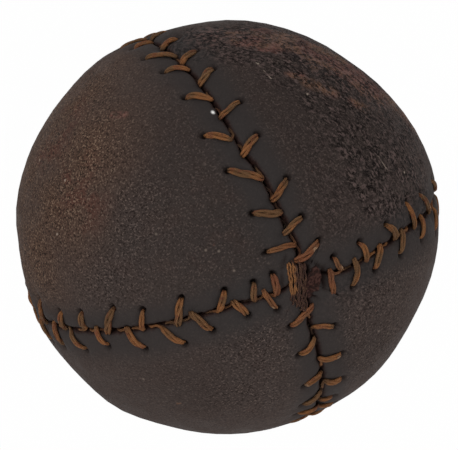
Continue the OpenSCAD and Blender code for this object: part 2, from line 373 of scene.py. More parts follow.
# What a stitch does: its groove, its hole and the hollow round that, the pull where it
# goes down, and the puffs between stitches
GROOVE_DEPTH, GROOVE_REACH = 0.26, 0.8
HOLE_DEPTH, HOLE_R = 1.2, 0.56
# How much painted shade the hole gets
HOLE_DARKNESS = 0.85
HOLE_SHIFT = 0.42
HOLLOW_DEPTH, HOLLOW_REACH = 0.2, 1.4
PULL_DEPTH, PULL_ALONG, PULL_ACROSS = 0.2, 0.8, 1.0
PUFF_HEIGHT, PUFF_REACH = 0.16, 1.4
PUFF_DISTANCE = 2.0
PUFF_CLEAR = (0.8, 2.2)
STITCH_FAR = 9.0


def column_distances(half_width):
    """Distances from the slit of one half petal's columns, out to its middle line."""
    near = np.array(EDGE_STEPS) * min(1.0, half_width / (EDGE_STEPS[-1] * EDGE_ROOM))
    far = np.linspace(near[-1], half_width, MIDDLE_COLUMNS + 1)[1:]
    return np.concatenate([near, far])


def past_slit(fade, along):
    """One beside the slit, fading to zero between two distances past its end."""
    return smooth_step(SEAM_LENGTH + fade[0], SEAM_LENGTH + fade[1], along)


def beside_line(points, start, end):
    """How far along a line each point lies, as a share of the line, and how far off it."""
    way = end - start
    part = np.clip(((points - start) @ way) / (way @ way), 0, 1)
    return part, np.linalg.norm(points - start - part[..., None] * way, axis=-1)


def crease_depth(points):
    """Depth of the creases that the photograph shows beside the crossing."""
    deepest = np.zeros(points.shape[:-1])
    for start, end, reach, depth in CREASES_PX:
        part, off = beside_line(points, on_photo(*start), on_photo(*end))
        deeper = depth * bump(off, reach) * (0.5 + 0.5 * np.sin(math.pi * part))
        deepest = np.maximum(deepest, deeper)
    return deepest


def stitch_marks(hole, dip, side, places):
    """What a stitch does to one side of its slit: how far down it presses the leather,
    how dark its hole is, and how far off it lies."""
    off = beside_line(places, hole, dip)[1]
    pulled = places - dip
    pressed = GROOVE_DEPTH * bump(off, GROOVE_REACH)
    pressed += PULL_DEPTH * bump(pulled[:, 0], PULL_ALONG) * bump(pulled[:, 1], PULL_ACROSS)
    dark = np.zeros(len(places))
    if np.sign(hole[1]) == side:
        # The hole is drawn out a little beyond the thread
        out = np.linalg.norm(places - hole + unit_rows(dip - hole) * HOLE_SHIFT, axis=1)
        pressed += HOLE_DEPTH * pit(out, HOLE_R) + HOLLOW_DEPTH * bump(out, HOLLOW_REACH)
        # Painted shade in the hole
        dark += HOLE_DARKNESS * pit(out, HOLE_R)
    return pressed, dark, off


def cover_height(seam, side, along, distance, across):
    """Height of the cover over the ball, its painted shade, and how rubbed beside a seam."""
    sewn = past_slit(SEWN_FADE, along)
    height = -SINK_DEPTH * (1 - smooth_step(0, SINK_REACH, distance)) * sewn
    rolled = np.clip(1 - distance / ROLL_REACH, 0, 1)
    height -= ROLL_DEPTH * (1 - np.sqrt(np.clip(1 - rolled**2, 0, 1))) * sewn
    # Painted shade at the slit's edge, where it rolls down
    dark = EDGE_DARKNESS * bump(distance, EDGE_DARK_REACH) * sewn
    rubbed = (1 - smooth_step(*RUBBED_REACH, distance)) * past_slit(RUBBED_FADE, along)
    nearest = np.full(along.shape, STITCH_FAR)
    places = np.stack([along, across], axis=-1)
    for hole, dip in all_stitches(seam):
        close = np.abs(along - (hole[0] + dip[0]) / 2) < STITCH_FAR
        pressed, hole_dark, off = stitch_marks(hole, dip, side, places[close])
        height[close] -= pressed
        dark[close] += hole_dark
        nearest[close] = np.minimum(nearest[close], off)
    height += PUFF_HEIGHT * smooth_step(*PUFF_CLEAR, nearest) * bump(
        distance - PUFF_DISTANCE, PUFF_REACH) * sewn
    return height, np.clip(dark, 0, 1), rubbed


def half_petal(seam, side, neighbour):
    """The rows of one half petal: its outer and inner skins, from the slit to the petal's
    middle line, and the slit's wall, from the outside in. Also how dark, how near a seam
    and how raw each point of the outer skin is."""
    azimuth = SEAMS[seam]["azimuth"]
    half_turn = abs((SEAMS[neighbour]["azimuth"] - azimuth + 180) % 360 - 180) / 2
    rows = np.concatenate([
        np.arange(FIRST_ROW, SEAM_LENGTH, ROW_STEP),
        np.linspace(SEAM_LENGTH, math.pi * BALL_R, CLOSED_ROWS),
    ])
    half_width = BALL_R * np.arctan(np.sin(rows / BALL_R) * math.tan(math.radians(half_turn)))
    half_width = np.maximum(half_width, 0)
    distance = np.stack([column_distances(w) for w in half_width])
    along = np.repeat(rows[:, None], distance.shape[1], axis=1)
    open_share = smooth_step(SEAM_LENGTH, SEAM_LENGTH - SLIT_END_FADE, along)
    ragged = np.array([
        sum(depth * noise.noise(Vector((row * fineness, azimuth, side + layer)))
            for fineness, depth, layer in RAGGED_WAVES)
        for row in rows
    ])
    gap = np.maximum(along_seam(seam, "half_gap", rows) + ragged, LEAST_HALF_GAP)[:, None]
    room = np.minimum(1, half_width / SLIT_FADE)[:, None]
    fade = (1 - smooth_step(0, SLIT_FADE, distance)) * open_share * room
    across = side * distance + (along_seam(seam, "wander", along) + side * gap) * fade
    height, dark, rubbed = cover_height(seam, side, along, distance, across)
    outer = on_ball(seam, along, across, 1.0)
    creased = crease_depth(outer * BALL_R)
    height -= creased
    # The creases get painted shade as deep as they are
    dark = np.clip(dark + CREASE_DARKNESS * creased, 0, 1)
    # The wall leans in under the edge, so that the slit narrows downwards
    edge = across[:, :1]
    middle = edge - side * gap * open_share[:, :1] * room
    walls = []
    for depth in WALL_DEPTHS:
        share = depth / WALL_DEPTHS[-1]
        radius = (BALL_R + height[:, :1]) * (1 - share) + (BALL_R - LEATHER_T) * share
        lean = middle + (edge - middle) * (1 - WALL_LEAN * share)
        walls.append(on_ball(seam, along[:, :1], lean, 1.0) * radius[..., None])
    inner_d = distance[:, ::max(1, distance.shape[1] // INNER_COLUMNS)]
    inner_d = np.concatenate([inner_d[:, 1:], distance[:, -1:]], axis=1)
    inner_fade = (1 - smooth_step(0, SLIT_FADE, inner_d)) * room * open_share[:, :1]
    inner_w = side * inner_d + inner_fade * (
        along_seam(seam, "wander", along[:, :1]) + side * gap * (1 - WALL_LEAN))
    inner_along = np.repeat(rows[:, None], inner_d.shape[1], axis=1)
    return {
        "outer": outer * (BALL_R + height)[..., None],
        "walls": np.concatenate(walls, axis=1),
        "inner": on_ball(seam, inner_along, inner_w, BALL_R - LEATHER_T),
        "dark": dark,
        "near": rubbed,
        "raw": RAWNESS * bump(distance, RAW_REACH) * open_share,
        "rows": rows,
    }


# What the finish reads on the walls and the inner skin; these get a little painted shade
HIDDEN_TONES = {"dark": 0.3, "near": 1.0, "raw": 1.0}


def make_petal(first_seam, second_seam):
    """One petal between two seams, as a closed shell."""
    first = half_petal(first_seam, 1, second_seam)
    second = half_petal(second_seam, -1, first_seam)
    # Once round the petal: over it, down one wall, back under it and up the other wall
    loop = [
        first["outer"], second["outer"][:, -2::-1], second["walls"], second["inner"],
        first["inner"][:, -2::-1], first["walls"][:, ::-1],
    ]
    grid = np.concatenate(loop, axis=1)
    rows, columns = grid.shape[:2]
    bpy.ops.mesh.primitive_grid_add(x_subdivisions=columns, y_subdivisions=rows - 1, size=1)
    petal = bpy.context.object
    # The grid's last column closes the loop onto the first one
    wrapped = np.concatenate([grid, grid[:, :1]], axis=1)
    set_positions(petal, millimetres(ball_shape(wrapped.reshape(-1, 3))))
    for tone, hidden in HIDDEN_TONES.items():
        values = np.concatenate([
            first[tone], second[tone][:, -2::-1],
            *(np.full(part.shape[:2], hidden) for part in loop[2:]), first[tone][:, :1],
        ], axis=1)
        set_tone(petal, tone, values)
    # Past the slit's end the petals are one sheet, so the walls between them go
    faces = np.arange((rows - 1) * columns).reshape(rows - 1, columns)
    closed = faces[np.argmax(first["rows"] >= SEAM_LENGTH):]
    second_wall = loop[0].shape[1] + loop[1].shape[1] - 1
    inner = second_wall + len(WALL_DEPTHS)
    first_wall = inner + loop[3].shape[1] + loop[4].shape[1]
    gone = {*closed[:, second_wall:inner].ravel(), *closed[:, first_wall:].ravel()}
    choose(petal)
    bpy.context.tool_settings.mesh_select_mode = (False, False, True)
    for polygon in petal.data.polygons:
        polygon.select = polygon.index in gone
    bpy.ops.object.mode_set(mode="EDIT")
    bpy.ops.mesh.delete(type="FACE")
    bpy.ops.object.mode_set(mode="OBJECT")
    return petal


def make_cover():
    """Four petals, welded where the leather is whole."""
    order = list(SEAMS)
    petals = [make_petal(first, second) for first, second in zip(order, order[1:] + order[:1])]
    choose(*petals)
    bpy.ops.object.join()
    cover = bpy.context.object
    cover.name = "cover"
    bpy.ops.object.mode_set(mode="EDIT")
    bpy.ops.mesh.select_all(action="SELECT")
    bpy.ops.mesh.remove_doubles(threshold=COVER_MERGE)
    bpy.ops.mesh.select_all(action="DESELECT")
    bpy.ops.mesh.select_mode(type="VERT")
    bpy.ops.mesh.select_non_manifold()
    bpy.ops.mesh.fill_holes(sides=0)
    bpy.ops.mesh.select_all(action="SELECT")
    bpy.ops.mesh.normals_make_consistent(inside=False)
    bpy.ops.object.mode_set(mode="OBJECT")
    bpy.ops.object.shade_smooth()
    return cover


# The thread: three plies laid round each other and pressed flat, out to the sides and up
PLIES = 3
PLY_R = 0.24
PLY_OUT = 0.33
PLY_UP = 0.12
TWIST = 11.0
THIN_SHARE = 0.35
THREAD_STEP = 0.22

# A stitch from its hole to where it goes down: share of the way, depth below the
# thread's top, and how far apart the plies lie
STITCH_SHAPE = [
    (-0.03, 0.95, 0.5), (0.02, 0.3, 0.7), (0.2, 0.0, 0.95), (0.5, -0.04, 1.0), (0.8, 0.16, 0.95),
    (0.96, 0.58, 0.65),
]

# How low the thread's top lies, how much lower in a short stitch, and how much stitches
# differ in height, width, bend and place of their middle
THREAD_SINK = 0.16
SHORT_STITCH = 4.0
SHORT_SINK = 0.1
TOP_STRAY = (-0.06, 0.1)
THREAD_WIDTHS = (0.85, 1.35)
THREAD_BEND = 0.35
MIDDLE_STRAY = 0.12

# The run along the slit, as (share of the run, depth), and the run under the leather
SLIT_RUN = 2.0
SLIT_DEPTHS = (0.5, 1.15)
SLIT_POINTS = [(0.35, 0.1), (1.0, 0.25)]
SLIT_SPREAD = 0.4
UNDER_R = BALL_R - LEATHER_T - 0.9
UNDER_SHARES = (0.55, 0.8)
UNDER_SAG = 0.1
UNDER_SPREAD = 0.45


def between(first, last, start, end, time):
    """Where something is on its straight way from one point to another."""
    return (end - time) / (end - start) * first + (time - start) / (end - start) * last


def spline_through(points, step):
    """A smooth route through points, at an even step, as a centripetal curve."""
    points = np.asarray(points, float)
    ends = np.concatenate([2 * points[:1] - points[1:2], points, 2 * points[-1:] - points[-2:-1]])
    out = []
    for p0, p1, p2, p3 in zip(ends, ends[1:], ends[2:], ends[3:]):
        t1 = np.linalg.norm(p1 - p0) ** 0.5
        t2 = t1 + np.linalg.norm(p2 - p1) ** 0.5
        t3 = t2 + np.linalg.norm(p3 - p2) ** 0.5
        count = max(2, int(np.linalg.norm(p2 - p1) / step) + 1)
        t = np.linspace(t1, t2, count, endpoint=False)[:, None]
        a1 = between(p0, p1, 0, t1, t)
        a2 = between(p1, p2, t1, t2, t)
        a3 = between(p2, p3, t2, t3, t)
        b1 = between(a1, a2, 0, t2, t)
        b2 = between(a2, a3, t1, t3, t)
        out.append(between(b1, b2, t1, t2, t))
    out.append(points[-1:])
    return np.concatenate(out)


def seam_route(seam):
    """Points of a seam's thread: up through a hole, over to the slit, down, and on under
    the other petal to the next hole. The fourth column is the spread of the plies."""
    stitches = all_stitches(seam)
    rng = np.random.default_rng(SEAMS[seam]["thread_seed"])
    route = []

    def add(place, radius, spread):
        route.append((*on_ball(seam, *place, radius), spread))

    for k, (hole, dip) in enumerate(stitches):
        way = dip - hole
        short = max(0, SHORT_STITCH - np.linalg.norm(way))
        top = BALL_R - THREAD_SINK - SHORT_SINK * short + rng.uniform(*TOP_STRAY)
        middle = rng.uniform(-MIDDLE_STRAY, MIDDLE_STRAY)
        width = rng.uniform(*THREAD_WIDTHS)
        bend = np.array([rng.uniform(-THREAD_BEND, THREAD_BEND), 0])
        add(hole, UNDER_R, STITCH_SHAPE[0][2])
        for share, depth, spread in STITCH_SHAPE:
            share += middle * math.sin(math.pi * share) ** 4
            add(hole + way * share + bend * math.sin(math.pi * share), top - depth, spread * width)
        if k < len(stitches) - 1:
            # It follows the slit for a while before it goes under the other petal
            following = stitches[k + 1][0]
            run = np.array([math.copysign(SLIT_RUN, following[0] - dip[0]), 0])
            depth = rng.uniform(*SLIT_DEPTHS)
            for share, deeper in SLIT_POINTS:
                along = dip[0] + run[0] * share
                place = (along, along_seam(seam, "wander", along))
                add(place, BALL_R - depth - deeper, SLIT_SPREAD)
            for share in UNDER_SHARES:
                place = dip + run + (following - dip - run) * share
                add(place, UNDER_R - UNDER_SAG, UNDER_SPREAD)
    return np.array(route)


def ply_routes(route, spread, side):
    """Routes of a twisted thread's plies, flattened, with the way across at each point."""
    steps = np.linalg.norm(np.diff(route, axis=0), axis=1)
    length = np.concatenate([[0], np.cumsum(steps)])
    tangent = unit_rows(np.gradient(route, axis=0))
    sideways = unit_rows(side - (side * tangent).sum(1, keepdims=True) * tangent)
    normal = np.cross(tangent, sideways)
    made = []
    for k in range(PLIES):
        turn = 2 * math.pi * (length / TWIST + k / PLIES)
        made.append(route + PLY_OUT * (spread * np.cos(turn))[:, None] * sideways
                    + PLY_UP * np.sin(turn)[:, None] * normal)
    return made


def tubes(name, routes, radius, thickness):
    """Round tubes along routes, as one mesh, their thickness a share of the radius."""
    curve = bpy.data.curves.new(name, "CURVE")
    curve.dimensions = "3D"
    curve.bevel_depth = radius * MM
    curve.bevel_resolution = 1
    curve.use_fill_caps = True
    for route in routes:
        spline = curve.splines.new("POLY")
        spline.points.add(len(route) - 1)
        rows = np.concatenate([millimetres(route), np.ones((len(route), 1))], axis=1)
        spline.points.foreach_set("co", rows.ravel())
        spline.points.foreach_set("radius", np.broadcast_to(thickness, len(route)).copy())
    obj = bpy.data.objects.new(name, curve)
    bpy.context.scene.collection.objects.link(obj)
    choose(obj)
    bpy.ops.object.convert(target="MESH")
    obj = bpy.context.object
    obj.name = name
    # The caps aren't joined to the tubes yet
    bpy.ops.object.mode_set(mode="EDIT")
    bpy.ops.mesh.select_all(action="SELECT")
    bpy.ops.mesh.remove_doubles(threshold=TUBE_MERGE)
    bpy.ops.object.mode_set(mode="OBJECT")
    bpy.ops.object.shade_smooth()
    return obj


def make_seam_thread(seam):
    turn = math.radians(SEAMS[seam]["azimuth"])
    rows = spline_through(seam_route(seam), THREAD_STEP)
    route = ball_shape(rows[:, :3])
    spread = rows[:, 3]
    # A stitch runs across its seam, so the way across the thread is along the seam
    pole = np.array([-math.sin(turn), math.cos(turn), 0])
    plies = ply_routes(route, spread, unit_rows(np.cross(pole, route)))
    return tubes(f"thread_{seam}", plies, PLY_R, THIN_SHARE + (1 - THIN_SHARE) * spread)


# The lashing beside the crossing: strands that run down in the photograph
LASH_STRANDS = 9
LASH_TOP_PX = ((287, 263), (304, 266))
LASH_BOTTOM_PX = ((291, 302), (305, 311))
LASH_STRAY_PX = 2.5
LASH_SEED = 5
LASH_R = 0.17
LASH_POINTS = 15
LASH_STEP = 0.15

# The bundle's height at its edge and its arch, and the strands' sway and stray in height
LASH_EDGE = -0.1
LASH_ARCH = 0.4
LASH_SWAY = 0.1
LASH_SWAY_GROWS = 0.14
LASH_HEIGHT_STRAY = 0.08

# At both ends the strands dive into the leather, a little further on
LASH_DIVE = 1.6
LASH_DIVE_SHARE = 0.02


def make_lashing():
    rng = np.random.default_rng(LASH_SEED)
    routes = []
    for k in range(LASH_STRANDS):
        share = k / (LASH_STRANDS - 1)
        ends = []
        for first, last in (LASH_TOP_PX, LASH_BOTTOM_PX):
            px = first[0] + (last[0] - first[0]) * share
            py = first[1] + (last[1] - first[1]) * share
            ends.append(on_photo(px, py + rng.uniform(-LASH_STRAY_PX, LASH_STRAY_PX)))
        top, bottom = ends
        arch = LASH_ARCH * math.sin(math.pi * share) + LASH_EDGE
        line = []
        for part in np.linspace(0, 1, LASH_POINTS):
            sway = rng.uniform(-1, 1) * (LASH_SWAY + LASH_SWAY_GROWS * part)
            point = top + (bottom - top) * part + np.array(CAMERA_RIGHT) * sway
            height = arch + rng.uniform(-LASH_HEIGHT_STRAY, LASH_HEIGHT_STRAY)
            line.append(unit_rows(point) * (BALL_R + height))
        further = (bottom - top) * LASH_DIVE_SHARE
        dives = [unit_rows(line[0] - further), unit_rows(line[-1] + further)]
        line = [dives[0] * (BALL_R - LASH_DIVE), *line, dives[1] * (BALL_R - LASH_DIVE)]
        routes.append(ball_shape(spline_through(line, LASH_STEP)))
    return tubes("lashing", routes, LASH_R, 1.0)


# The tongue: the petals' gathered tips, beside the lashing. Its place, half its width,
# length and thickness, how uneven each is, how deep it sits, and how fine its lumps are
TONGUE_PX = (313, 282)
TONGUE_HALF = (1.45, 2.7, 0.65)
TONGUE_UNEVEN = (0.25, 0.2, 0.35)
TONGUE_SINK = 0.4
TONGUE_LUMPS = 1.7

# It fades from its hidden side to its outside, and from buried leather, in painted shade, to
# bare leather, between these heights as shares of its half thickness
TONGUE_OUTSIDE = (-0.1, 0.4)
TONGUE_BARE = (0.1, 0.5)

# Its folds fan out from a pivot, and bend with its lumps. Their valleys get painted shade.
FOLD_PIVOT = (-3.2, -1.5)
FOLD_DEGREES = 24.0
FOLD_HEIGHT = 0.14
FOLD_BEND = 0.5
FOLD_DARKNESS = 0.6

# Two pits lie in it, in painted shade
TONGUE_PITS = [(-0.9, 1.9), (0.5, -1.9)]
PIT_DEPTH = 0.9
PIT_REACH = 0.42
PIT_DARK_REACH = 0.55


def make_tongue():
    bpy.ops.mesh.primitive_ico_sphere_add(subdivisions=6, radius=1)
    tongue = bpy.context.object
    tongue.name = "tongue"
    unit = positions(tongue)
    lumps = np.array([noise.noise(Vector(p) * TONGUE_LUMPS) for p in unit])
    right = unit[:, 0] * TONGUE_HALF[0] * (1 + TONGUE_UNEVEN[0] * lumps)
    up = unit[:, 1] * TONGUE_HALF[1] * (1 + TONGUE_UNEVEN[1] * lumps)
    turn = np.degrees(np.arctan2(up - FOLD_PIVOT[1], right - FOLD_PIVOT[0]))
    fold = np.sin(2 * math.pi * (turn / FOLD_DEGREES + FOLD_BEND * lumps))
    outside = smooth_step(*TONGUE_OUTSIDE, unit[:, 2])
    height = unit[:, 2] * TONGUE_HALF[2] + outside * (FOLD_HEIGHT * fold + TONGUE_UNEVEN[2] * lumps)
    dark = FOLD_DARKNESS * outside * smooth_step(0.0, -1.0, fold)
    for pit_right, pit_up in TONGUE_PITS:
        away = np.hypot(right - pit_right, up - pit_up)
        height -= outside * PIT_DEPTH * bump(away, PIT_REACH)
        dark += bump(away, PIT_DARK_REACH)
    dark = np.clip(dark + 1 - smooth_step(*TONGUE_BARE, unit[:, 2]), 0, 1)
    middle = on_photo(*TONGUE_PX)
    outwards = middle / BALL_R
    across = unit_rows(np.cross(np.array(CAMERA_UP), outwards))
    along = np.cross(outwards, across)
    base = unit_rows(middle + right[:, None] * across + up[:, None] * along)
    base = base * (BALL_R - TONGUE_SINK)
    set_positions(tongue, millimetres(ball_shape(base + height[:, None] * outwards)))
    set_tone(tongue, "dark", dark)
    set_tone(tongue, "near", np.zeros(len(unit)))
    set_tone(tongue, "raw", np.ones(len(unit)))
    choose(tongue)
    bpy.ops.object.shade_smooth()
    return tongue


# Tones as the eye reads them, from 0 to 255
LEATHER = {
    "ground": (52, 45, 42), "dull": (49, 43, 41), "warm": (57, 46, 42),
    # The paler tone is painted sheen towards the outline
    "painted_edge_sheen": (72, 61, 57), "shade": (44, 37, 35), "brown": (77, 58, 48), "reddish": (84, 52, 44),
    # These tones serve the patches of wear and the painted highlight along the rim
    "wear_and_highlight": (108, 79, 62), "rosy_wear_and_highlight": (106, 73, 66),
    # The light tone of the pebbled leather is painted sheen on its tops
    "painted_pebble_sheen": (94, 78, 75), "pebble_gap": (13, 7, 7),
    "lit_blotch": (118, 92, 86), "dark_blotch": (17, 10, 11),
    "crest": (99, 86, 80), "brown_crest": (128, 105, 87), "pore": (24, 17, 15),
    "rubbed": (46, 44, 44), "painted_glint_and_scratch": (186, 168, 152), "bright_speck": (250, 248, 244),
    # The dark tone is painted shade, for holes, slit, creases and the tongue
    "raw": (38, 22, 20), "raw_light": (66, 44, 39), "dark": (31, 22, 20),
}
# The light streak tone is painted highlight along the strands, the slit tone painted shade
FIBRE = {"painted_fibre_highlight": (210, 166, 116), "painted_slit_shade": (38, 24, 18)}
WAXED_THREAD = {
    **FIBRE, "light": (144, 93, 54), "mid": (112, 80, 52), "deep": (40, 25, 19),
    "red": (118, 68, 47), "spot": (158, 124, 96),
}
DARK_THREAD = {
    **FIBRE, "light": (92, 62, 46), "mid": (68, 46, 39), "deep": (14, 9, 8),
    "red": (68, 44, 38), "spot": (146, 98, 60),
}
RUBBER = {"low": (40, 36, 34), "high": (58, 52, 48)}
WOOL = {"low": (118, 106, 88), "high": (160, 148, 126)}
TWINE = {"low": (158, 144, 118), "high": (196, 182, 152)}

# Noises of the finishes: blotches to a metre, detail and roughness
BROAD = (60, 3, 0.5)
MIDDLING = (230, 4, 0.6)
TWO_TONED = (230, 2, 0.5)
REDDENED = (260, 2, 0.5)
RIM_EDGE = (280, 5, 0.7)
PATCHY = (420, 3, 0.6)
BROKEN = (520, 4, 0.7)
COARSE = (1000, 3, 0.65)
SCRATCHED = (1400, 1, 0.5)
DASHES = (1900, 1.5, 0.6)
GRAIN = (2500, 3, 0.7)
FINE_GRAIN = (2900, 2, 0.6)
THREAD_RED = (190, 2, 0.5, 3.0)


def linear(tone):
    """A tone from 0 to 255 as linear light."""
    shares = [value / 255 for value in tone]
    return (*(s / 12.92 if s <= 0.04045 else ((s + 0.055) / 1.055) ** 2.4 for s in shares), 1.0)


class Nodes:
    """A node tree, built a node at a time. Sockets are given by their names or places."""

    def __init__(self, tree):
        self.tree = tree

    def put(self, node, sockets):
        """Links a node's sockets to other ones, or sets them."""
        for name, value in sockets.items():
            if isinstance(value, bpy.types.NodeSocket):
                self.tree.links.new(value, node.inputs[name])
            else:
                node.inputs[name].default_value = value

    def node(self, kind, sockets, **settings):
        made = self.tree.nodes.new(kind)
        for name, value in settings.items():
            setattr(made, name, value)
        self.put(made, sockets)
        return made

    def math(self, operation, first, second):
        return self.node("ShaderNodeMath", {0: first, 1: second}, operation=operation).outputs[0]

    def times(self, first, second):
        return self.math("MULTIPLY", first, second)

    def most(self, first, second):
        return self.math("MAXIMUM", first, second)

    def show_white(self, output, lit, white, rays, share=1.0):
        """Shows a white shader to these kinds of rays, and the lit one to all others."""
        kinds = self.node("ShaderNodeLightPath", {})
        seen = 0.0
        for ray in rays:
            seen = self.most(kinds.outputs[ray], seen)
        sockets = {0: self.times(seen, share), 1: lit.outputs[0], 2: white.outputs[0]}
        blend = self.node("ShaderNodeMixShader", sockets)
        self.put(self.tree.nodes[output], {0: blend.outputs[0]})


class Finish(Nodes):
    """A material, whose tones are laid over one another on its base."""

    def __init__(self, name, tones):
        self.material = bpy.data.materials.new(name)
        self.material.use_nodes = True
        super().__init__(self.material.node_tree)
        self.tones = {tone: linear(value) for tone, value in tones.items()}
        self.place = self.node("ShaderNodeTexCoord", {}).outputs["Object"]
        self.sphere_place = None
        self.base = None

    def blend(self, share, first, second):
        """Two tones, the second one where the share is one."""
        sockets = {"Factor": share, 6: self.tones[first], 7: self.tones[second]}
        return self.node("ShaderNodeMix", sockets, data_type="RGBA").outputs[2]

    def lay(self, tone, share, strength=1.0):
        """Lays a tone over the base, where the share is one, at this strength."""
        if tone in self.tones:
            tone = self.tones[tone]
        sockets = {"Factor": self.times(share, strength), 6: self.base, 7: tone}
        self.base = self.node("ShaderNodeMix", sockets, data_type="RGBA").outputs[2]

    def vector(self, operation, sockets):
        made = self.node("ShaderNodeVectorMath", sockets, operation=operation)
        return made.outputs["Value" if operation in ("DOT_PRODUCT", "LENGTH", "DISTANCE") else 0]

    def noise(self, scale, detail, rough, warp=0.0, place=None):
        made = self.node("ShaderNodeTexNoise", {
            "Vector": place or self.place, "Scale": scale, "Detail": detail,
            "Roughness": rough, "Distortion": warp,
        })
        return made.outputs["Fac"]

    def cell_edges(self, scale, place):
        """Distance to the edge of the nearest of many small cells."""
        sockets = {"Vector": place, "Scale": scale}
        made = self.node("ShaderNodeTexVoronoi", sockets, feature="DISTANCE_TO_EDGE")
        return made.outputs["Distance"]

    def remap(self, value, low, high, to_low=0.0, to_high=1.0):
        sockets = {
            "Value": value, "From Min": low, "From Max": high, "To Min": to_low, "To Max": to_high,
        }
        made = self.node("ShaderNodeMapRange", sockets, interpolation_type="SMOOTHSTEP")
        return made.outputs["Result"]

    def attribute(self, name):
        return self.node("ShaderNodeAttribute", {}, attribute_name=name).outputs["Fac"]

    def depth(self, low, high):
        """Zero at a low distance from the ball's centre, one at a high one."""
        return self.remap(self.vector("LENGTH", {0: self.place}), low * MM, high * MM)

    def streaks(self, around, along):
        """Noise drawn out along a tube, by its own map."""
        uv = self.node("ShaderNodeUVMap", {}, uv_map="UVMap").outputs["UV"]
        stretch = self.node("ShaderNodeMapping", {"Vector": uv, "Scale": (around, along, 1)})
        return self.noise(1.0, 3.0, 0.65, place=stretch.outputs["Vector"])

    def on_sphere(self):
        """The place moved in or out onto a true ball, where the named places lie."""
        if self.sphere_place is None:
            way = self.vector("NORMALIZE", {0: self.place})
            self.sphere_place = self.vector("SCALE", {0: way, "Scale": BALL_R * MM})
        return self.sphere_place

    def near_any(self, spots_px, reach):
        """One at the nearest of some places in the photograph, zero past their reach."""
        share = 0.0
        for spot_px in spots_px:
            spot = tuple(millimetres(on_photo(*spot_px)))
            away = self.vector("DISTANCE", {0: self.on_sphere(), 1: spot})
            share = self.most(self.remap(away, reach * MM, 0.0), share)
        return share

    def near_lines(self, lines_px):
        """One along the nearest of some lines in the photograph, zero past their reach."""
        share = 0.0
        for start_px, end_px, reach in lines_px:
            start, end = on_photo(*start_px), on_photo(*end_px)
            way = Vector(end - start) * MM
            offset = self.vector("SUBTRACT", {0: self.on_sphere(), 1: tuple(millimetres(start))})
            part = self.vector("DOT_PRODUCT", {0: offset, 1: tuple(way / way.length_squared)})
            part = self.math("MINIMUM", self.most(part, 0.0), 1.0)
            on_line = self.vector("SCALE", {0: tuple(way), "Scale": part})
            away = self.vector("DISTANCE", {0: offset, 1: on_line})
            share = self.most(self.remap(away, reach * MM, 0.0), share)
        return share

    def drawn_out(self, way, share):
        """Places squeezed along a way, so that what is laid over them is drawn out."""
        along = self.vector("DOT_PRODUCT", {0: self.place, 1: way})
        back = self.vector("SCALE", {0: way, "Scale": self.times(along, -share)})
        return self.vector("ADD", {0: self.place, 1: back})

    def jostled(self, place, scale, reach):
        """Places moved about at random, up to about half a reach."""
        shift = self.node("ShaderNodeTexNoise", {"Vector": place, "Scale": scale})
        moved = self.vector("SCALE", {0: shift.outputs["Color"], "Scale": reach * MM})
        return self.vector("ADD", {0: moved, 1: place})

    def relief(self, height, depth, below=None):
        """Relief by a height from zero to one, over other relief."""
        sockets = {"Strength": 1.0, "Distance": depth * MM, "Height": height}
        if below is not None:
            sockets["Normal"] = below
        return self.node("ShaderNodeBump", sockets).outputs["Normal"]

    def end(self, rough, normal, specular):
        self.put(self.tree.nodes["Principled BSDF"], {
            "Base Color": self.base, "Roughness": rough, "Normal": normal,
            "Specular IOR Level": specular,
        })
        return self.material


def lay_ground(f, broad, middling):
    """The leather's tone, paler away from the front by painted sheen, and darker in some stretches.
    """
    f.base = f.blend(f.remap(broad, 0.35, 0.65), "ground", "dull")
    f.lay("warm", f.remap(middling, 0.45, 0.7), 0.5)
    f.lay("painted_edge_sheen", f.math("SUBTRACT", 1.0, f.near_any(*FRONT_PX)), 0.9)
    f.lay("shade", f.near_any(*DARKER_PX), 0.75)
    f.lay("shade", f.near_any(*SHADED_PX), 0.3)


def lay_brown(f, brown):
    """Browner leather with reddish blotches, at the left of the photograph."""
    f.lay("brown", brown)
    blotches = f.remap(f.noise(*REDDENED), 0.42, 0.6)
    f.lay("reddish", f.times(f.near_any(*REDDISH_PX), blotches), 0.6)


def lay_wear_and_highlight(f):
    """Worn leather in a few patches, and a painted highlight along the upper right rim."""
    rim = f.math("ADD", f.noise(*RIM_EDGE), f.times(f.near_lines(RIM_HIGHLIGHT_PX), 0.42))
    broken = f.remap(f.noise(*BROKEN), 0.38, 0.5)
    rim = f.times(f.remap(rim, 0.66, 0.77), f.most(broken, 0.55))
    patches = f.times(f.near_lines(PATCHES_PX), broken)
    tone = f.blend(f.remap(f.noise(*TWO_TONED), 0.42, 0.58), "wear_and_highlight", "rosy_wear_and_highlight")
    f.lay(tone, f.most(rim, patches), 0.9)


def lay_pebbles(f):
    """Pebbled leather with short dark dashes and light ones of painted sheen, at right and top.
    It gives back how deep the dark ones are."""
    share = f.remap(f.near_any(*PEBBLED_PX), 0.1, 0.6)
    share = f.most(share, f.times(f.near_any(*SPARSE_PX), 0.5))
    share = f.times(f.remap(f.noise(*PATCHY), 0.4, 0.58, 0.35, 1.0), share)
    slanted = tuple((CAMERA_RIGHT * 0.8 - CAMERA_UP * 0.6).normalized())
    place = f.jostled(f.drawn_out(slanted, 0.4), 1000, 0.6)
    dashes = f.noise(*DASHES, place=place)
    edges = f.cell_edges(DASHES[0], place)
    lines = f.times(f.remap(edges, 0.03, 0.16, 1.0, 0.0), f.remap(dashes, 0.56, 0.46))
    creased = f.times(f.most(lines, f.remap(dashes, 0.42, 0.36)), share)
    f.lay("painted_pebble_sheen", f.times(f.remap(dashes, 0.54, 0.64), share), 0.7)
    f.lay("pebble_gap", creased, 0.95)
    return creased


